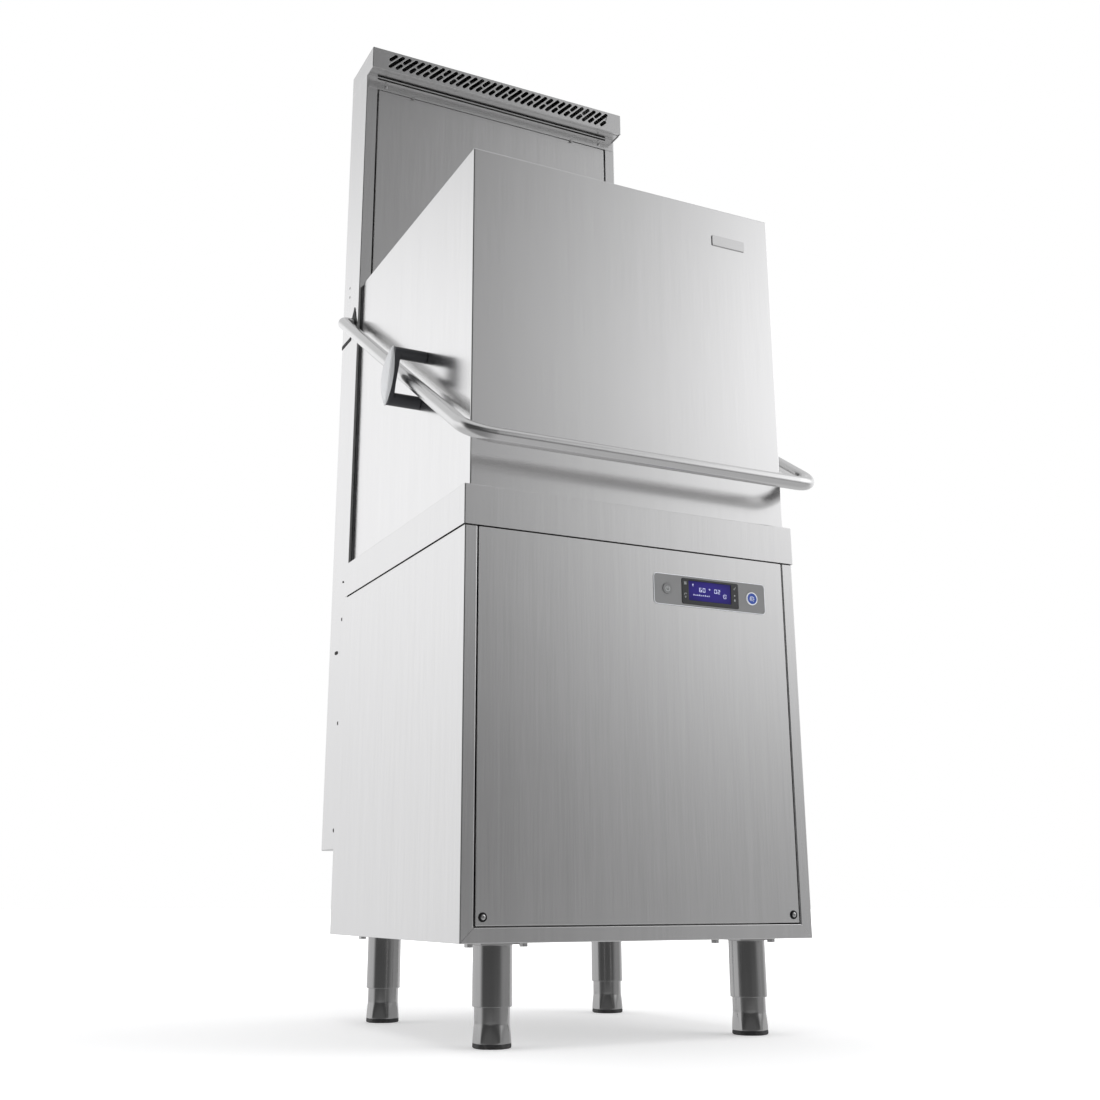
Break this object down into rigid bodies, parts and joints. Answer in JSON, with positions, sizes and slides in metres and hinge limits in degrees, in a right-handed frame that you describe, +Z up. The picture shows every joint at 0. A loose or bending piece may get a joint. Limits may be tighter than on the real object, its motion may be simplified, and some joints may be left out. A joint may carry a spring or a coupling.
{
  "type": "commercial dishwasher",
  "caption": "Pass-through hood dishwasher: lifting hood with a U-shaped handle over a wash tank on legs, and a rear tower with a steam-recovery fan and vented canopy.",
  "frame": {"origin": "on the floor, under the middle of the machine's bounding box (handle bar in front to tower at the rear)", "axes": "+Z up, -Y towards the operator at the front, +X to the operator's right"},
  "size_m": [0.752, 0.772, 2.0185],
  "materials": {
    "brushed_steel": "satin brushed stainless sheet",
    "hood_steel": "satin stainless sheet with a fine vertical grain",
    "tube_steel": "ground and polished stainless tube",
    "leg_steel": "dull machined stainless",
    "inner_steel": "pickled stainless, matt",
    "fastener_steel": "bright screw heads",
    "black_plastic": "black moulded plastic",
    "charcoal_plastic": "charcoal moulded plastic",
    "cap_plastic": "light grey moulded plastic",
    "fascia_plastic": "grey printed control film",
    "bezel_plastic": "black gloss",
    "screen_blue": "blue backlit display",
    "button_grey": "grey press button",
    "button_blue": "blue press button",
    "badge": "blank anodised plate",
    "hose_rubber": "black hose rubber",
    "copper_fins": "copper tubes and fins",
    "motor_paint": "dark machine paint",
    "heater_metal": "heat-darkened steel"
  },
  "bodies": {
    "cabinet": {"side_panel_left": "brushed_steel", "side_panel_right": "brushed_steel", "bottom_pan": "brushed_steel", "front_panel": "brushed_steel", "panel_screws": "fastener_steel", "rear_cover": "brushed_steel", "rim_frame": "brushed_steel", "wash_tank": "inner_steel", "tank_strainer": "inner_steel", "tank_heater": "heater_metal", "rack_guide": "inner_steel", "lower_manifold": "inner_steel", "wash_riser": "inner_steel", "back_panel": "brushed_steel", "column_left": "brushed_steel", "column_right": "brushed_steel", "guide_rails": "leg_steel", "pivot_bushes": "black_plastic", "springs": "leg_steel", "tower_rear_cover": "brushed_steel", "canopy": "brushed_steel", "canopy_floor": "brushed_steel", "canopy_strip": "brushed_steel", "tower_screws": "fastener_steel", "heat_exchanger": "copper_fins", "fan_housing": "inner_steel", "fan_motor": "motor_paint", "control_fascia": "fascia_plastic", "display_bezel": "bezel_plastic", "display_screen": "screen_blue", "control_box": "charcoal_plastic", "wash_pump": "motor_paint", "boiler": "inner_steel", "drain_pump": "motor_paint", "dosing_pumps": "cap_plastic", "inlet_valve": "charcoal_plastic", "cable_gland": "black_plastic", "pipework": "hose_rubber", "leg_sleeves": "leg_steel", "cabinet_bolts": "fastener_steel"},
    "hood": {"hood_shell": "hood_steel", "hood_carriages": "leg_steel", "yokes": "charcoal_plastic", "yoke_caps": "cap_plastic", "badge_plate": "badge"},
    "handle": {"handle_bar": "tube_steel", "handle_cranks": "leg_steel"},
    "upper_wash_arm": {"upper_wash_arm": "inner_steel"},
    "upper_rinse_arm": {"upper_rinse_arm": "inner_steel"},
    "lower_wash_arm": {"lower_wash_arm": "inner_steel"},
    "lower_rinse_arm": {"lower_rinse_arm": "inner_steel"},
    "fan_rotor": {"fan_rotor": "charcoal_plastic"},
    "pump_impeller": {"pump_impeller": "inner_steel"},
    "power_button": {"power_button": "button_grey"},
    "start_button": {"start_button": "button_blue"},
    "foot_front_left": {"foot_front_left": "leg_steel"},
    "foot_front_right": {"foot_front_right": "leg_steel"},
    "foot_rear_left": {"foot_rear_left": "leg_steel"},
    "foot_rear_right": {"foot_rear_right": "leg_steel"}
  },
  "joints": [
    {"name": "hood_lift", "type": "slide", "parent": "cabinet", "child": "hood", "axis": [0, 0, 1], "range_m": [0, 0.46]},
    {"name": "handle_swing", "type": "hinge", "parent": "cabinet", "child": "handle", "pos_m": [0, 0.3125, 1.378], "axis": [-1, 0, 0], "range_deg": [0, 60.05], "deforming": ["springs"]},
    {"name": "upper_wash_arm_spin", "type": "hinge", "parent": "cabinet", "child": "upper_wash_arm", "pos_m": [0, -0.0235, 1.314], "axis": [0, 0, 1], "continuous": true},
    {"name": "upper_rinse_arm_spin", "type": "hinge", "parent": "cabinet", "child": "upper_rinse_arm", "pos_m": [0, -0.0235, 1.292], "axis": [0, 0, 1], "continuous": true},
    {"name": "lower_wash_arm_spin", "type": "hinge", "parent": "cabinet", "child": "lower_wash_arm", "pos_m": [0, -0.0235, 0.786], "axis": [0, 0, 1], "continuous": true},
    {"name": "lower_rinse_arm_spin", "type": "hinge", "parent": "cabinet", "child": "lower_rinse_arm", "pos_m": [0, -0.0235, 0.808], "axis": [0, 0, 1], "continuous": true},
    {"name": "fan_rotor_spin", "type": "hinge", "parent": "cabinet", "child": "fan_rotor", "pos_m": [0, 0.3365, 1.87], "axis": [1, 0, 0], "continuous": true},
    {"name": "pump_impeller_spin", "type": "hinge", "parent": "cabinet", "child": "pump_impeller", "pos_m": [0.08, -0.1285, 0.28], "axis": [1, 0, 0], "continuous": true},
    {"name": "power_button_press", "type": "slide", "parent": "cabinet", "child": "power_button", "axis": [0, 1, 0], "range_m": [0, 0.001], "stiffness_N_per_m": 500},
    {"name": "start_button_press", "type": "slide", "parent": "cabinet", "child": "start_button", "axis": [0, 1, 0], "range_m": [0, 0.001], "stiffness_N_per_m": 500},
    {"name": "foot_front_left_turn", "type": "hinge", "parent": "cabinet", "child": "foot_front_left", "pos_m": [-0.2315, -0.244, 0.03], "axis": [0, 0, 1], "continuous": true},
    {"name": "foot_front_right_turn", "type": "hinge", "parent": "cabinet", "child": "foot_front_right", "pos_m": [0.2315, -0.244, 0.03], "axis": [0, 0, 1], "continuous": true},
    {"name": "foot_rear_left_turn", "type": "hinge", "parent": "cabinet", "child": "foot_rear_left", "pos_m": [-0.2315, 0.237, 0.03], "axis": [0, 0, 1], "continuous": true},
    {"name": "foot_rear_right_turn", "type": "hinge", "parent": "cabinet", "child": "foot_rear_right", "pos_m": [0.2315, 0.237, 0.03], "axis": [0, 0, 1], "continuous": true}
  ],
  "couplings": [
    {"joint": "handle_swing", "follows": "hood_lift", "rad_per_m": 2.2765}
  ]
}
